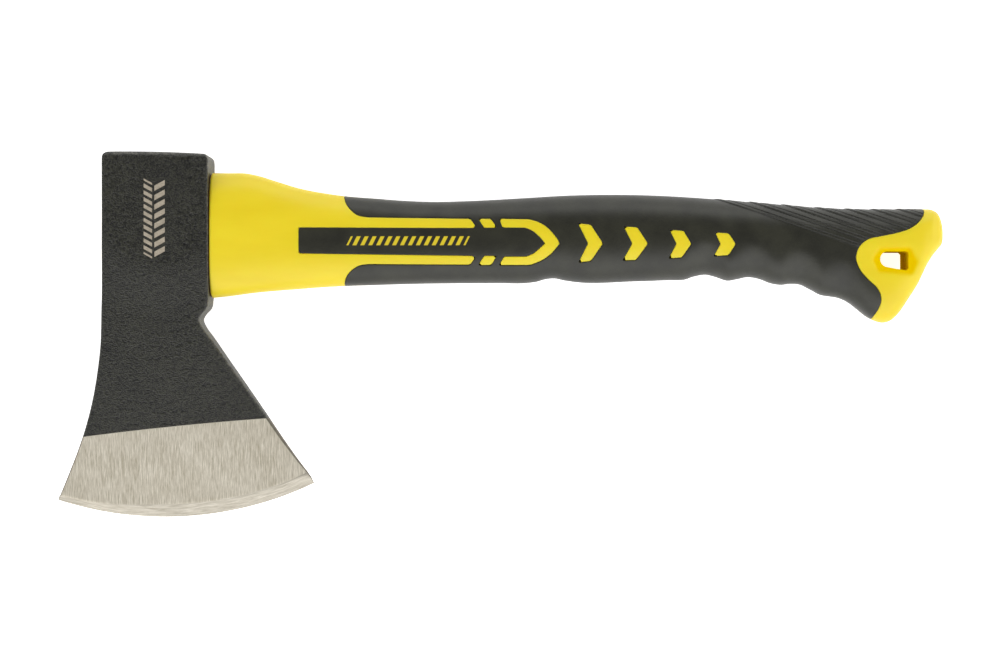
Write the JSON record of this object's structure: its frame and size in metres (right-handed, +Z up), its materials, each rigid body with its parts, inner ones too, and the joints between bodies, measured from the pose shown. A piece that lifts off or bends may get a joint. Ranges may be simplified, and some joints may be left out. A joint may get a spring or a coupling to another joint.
{
  "type": "hatchet",
  "caption": "One-hand camping hatchet: black steel head with a ground edge, on a yellow fibreglass-cored handle with a black soft grip, finger grooves and a hang hole.",
  "frame": {"origin": "under the middle of the outline, on the surface that the hatchet lies on", "axes": "+X from the head to the butt, +Y from the cutting edge to the poll, +Z up through the thickness, lying on its side"},
  "size_m": [0.3597, 0.1483, 0.026],
  "materials": {
    "head_steel": "black textured powder coat, bare ground steel towards the edge",
    "epoxy": "amber cast epoxy",
    "fibreglass": "sawn pultruded glass fibre",
    "yellow_jacket": "satin moulded polypropylene",
    "black_grip": "fine matt moulded soft elastomer"
  },
  "bodies": {
    "root": {"axe_head": "head_steel", "eye_resin": "epoxy", "fibreglass_core": "fibreglass", "handle_jacket": "yellow_jacket", "grip_overmould": "black_grip"}
  },
  "joints": []
}
